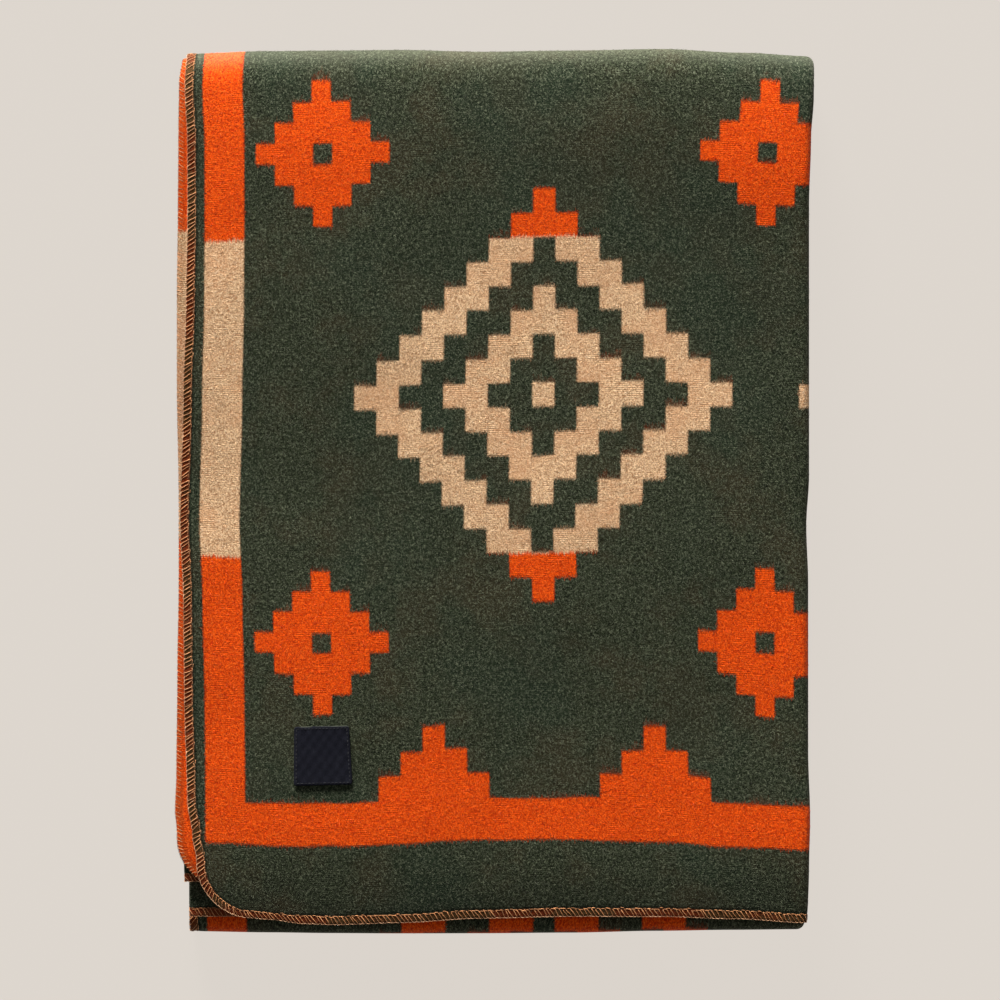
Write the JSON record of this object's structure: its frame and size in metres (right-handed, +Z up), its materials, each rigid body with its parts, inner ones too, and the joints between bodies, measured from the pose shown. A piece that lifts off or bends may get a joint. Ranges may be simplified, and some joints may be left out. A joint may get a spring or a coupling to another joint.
{
  "type": "folded wool blanket",
  "caption": "Double-faced wool throw blanket folded in quarters both ways into a flat rectangular stack, overlocked edges, rounded corners, small woven label on its face.",
  "frame": {"origin": "under the middle of the folded stack, on the surface that it lies on", "axes": "+Z up through the layers, +Y along the stack from its loose ends to its rounded fold, +X across to the folded side"},
  "size_m": [0.4179, 0.5831, 0.0479],
  "materials": {
    "wool": "brushed and fulled double-faced wool, matt, with a short nap",
    "label": "smooth fine-woven polyester, slightly satin"
  },
  "bodies": {
    "root": {"cloth": "wool", "label": "label"}
  },
  "joints": []
}
